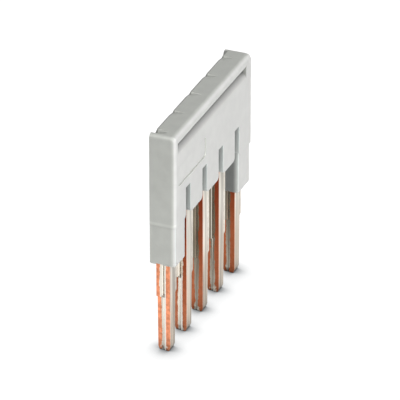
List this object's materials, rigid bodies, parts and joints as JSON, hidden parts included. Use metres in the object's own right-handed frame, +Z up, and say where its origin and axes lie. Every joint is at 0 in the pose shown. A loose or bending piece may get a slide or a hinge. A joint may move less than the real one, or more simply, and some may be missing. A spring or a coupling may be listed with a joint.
{
  "type": "terminal block jumper",
  "caption": "Plug-in bridge that links neighbouring terminal blocks: a moulded grey housing with a finger groove, carrying a folded comb of flat metal prongs.",
  "frame": {"origin": "under the middle of the part, on the plane of the prong tips", "axes": "+X along the row of prongs, -Y out of the face with the label recess and the finger groove, +Z up from the prong tips to the crown"},
  "size_m": [0.0196, 0.0028, 0.0241],
  "materials": {
    "housing_plastic": "light grey moulded plastic with a fine matt grain",
    "tinned_copper": "tin-plated copper sheet with bare copper on the outer half of its cut edges"
  },
  "bodies": {
    "root": {"housing": "housing_plastic", "contact_comb": "tinned_copper"}
  },
  "joints": []
}
